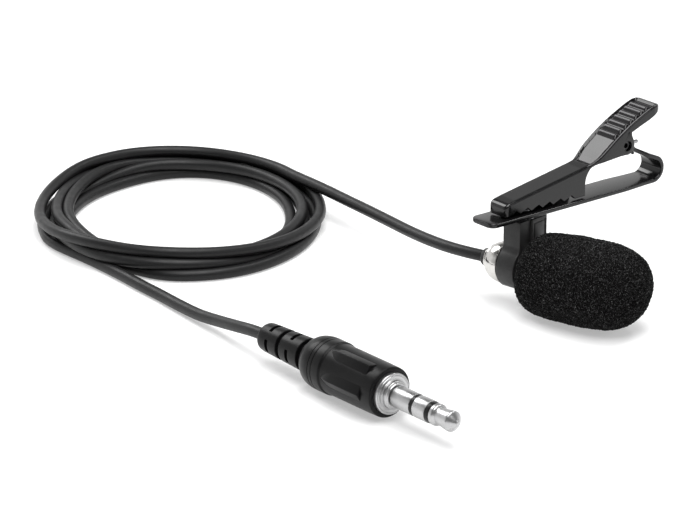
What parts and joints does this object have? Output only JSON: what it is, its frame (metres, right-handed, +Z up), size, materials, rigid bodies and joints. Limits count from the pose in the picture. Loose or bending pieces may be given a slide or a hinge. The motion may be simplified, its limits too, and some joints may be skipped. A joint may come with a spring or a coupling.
{
  "type": "lavalier microphone",
  "caption": "Clip-on lavalier microphone: foam-covered capsule in a swivelling sprung tie clip, with a coiled cable and an audio jack plug.",
  "frame": {"origin": "under the middle of the head and its clip, on the surface the windscreen, the coil and the plug rest on", "axes": "+X along the microphone's axis towards the windscreen, +Y towards the clip's handle, +Z up"},
  "size_m": [0.1241, 0.0834, 0.0295],
  "materials": {
    "foam": "open-cell foam",
    "black_plastic": "matte",
    "steel": "satin",
    "capsule_can": "satin",
    "boot_rubber": "matte",
    "board": "satin",
    "chip": "matte",
    "signal_insulation": "satin",
    "ground_insulation": "satin",
    "chrome": "polished",
    "grommet_rubber": "matte",
    "crimp_brass": "satin",
    "cable_jacket": "satin",
    "holder_plastic": "matte",
    "rivet_steel": "satin",
    "washer_steel": "satin",
    "black_steel": "gloss",
    "pin_steel": "satin",
    "spring_steel": "satin",
    "relief_rubber": "satin",
    "plug_plastic": "satin",
    "inner_mould": "matte",
    "plug_chrome": "polished",
    "insulator": "gloss"
  },
  "bodies": {
    "microphone": {"mic_housing": "black_plastic", "front_grille": "steel", "electret_capsule": "capsule_can", "capsule_boot": "boot_rubber", "preamp_board": "board", "jfet_chip": "chip", "signal_wire": "signal_insulation", "ground_wire": "ground_insulation", "rear_dome": "chrome", "cable_grommet": "grommet_rubber", "cable_crimp": "crimp_brass", "cable_tail": "cable_jacket", "mic_lead": "cable_jacket", "cable_coil": "cable_jacket", "plug_lead": "cable_jacket", "strain_relief": "relief_rubber", "plug_body": "plug_plastic", "plug_inner_mould": "inner_mould", "plug_cable_tail": "cable_jacket", "plug_signal_wire": "signal_insulation", "plug_ground_wire": "ground_insulation", "plug_sleeve": "plug_chrome", "sleeve_insulator": "insulator", "plug_ring": "plug_chrome", "ring_insulator": "insulator", "plug_tip": "plug_chrome"},
    "holder": {"holder_ring": "holder_plastic", "swivel_rivet": "rivet_steel", "rivet_washer": "washer_steel"},
    "clip": {"lower_jaw": "black_steel", "hinge_pin": "pin_steel", "torsion_spring": "spring_steel"},
    "clip_jaw": {"upper_jaw": "black_steel"},
    "windscreen": {"foam_windscreen": "foam"}
  },
  "joints": [
    {"name": "holder_turn", "type": "hinge", "parent": "microphone", "child": "holder", "pos_m": [-0.00915, -0.01078, 0.0068], "axis": [1, 0, 0], "range_deg": [-20, 20]},
    {"name": "clip_swivel", "type": "hinge", "parent": "holder", "child": "clip", "pos_m": [-0.00915, -0.00938, 0.01545], "axis": [0, 0, 1], "continuous": true},
    {"name": "jaw_hinge", "type": "hinge", "parent": "clip", "child": "clip_jaw", "pos_m": [-0.00572, 0.01007, 0.02332], "axis": [-0.9848, 0.1736, 0], "range_deg": [0, 25], "stiffness_Nm_per_rad": 0.02, "springref_deg": -57.3, "deforming": ["torsion_spring"]},
    {"name": "windscreen_slide", "type": "slide", "parent": "microphone", "child": "windscreen", "axis": [1, 0, 0], "range_m": [0, 0.016]}
  ]
}
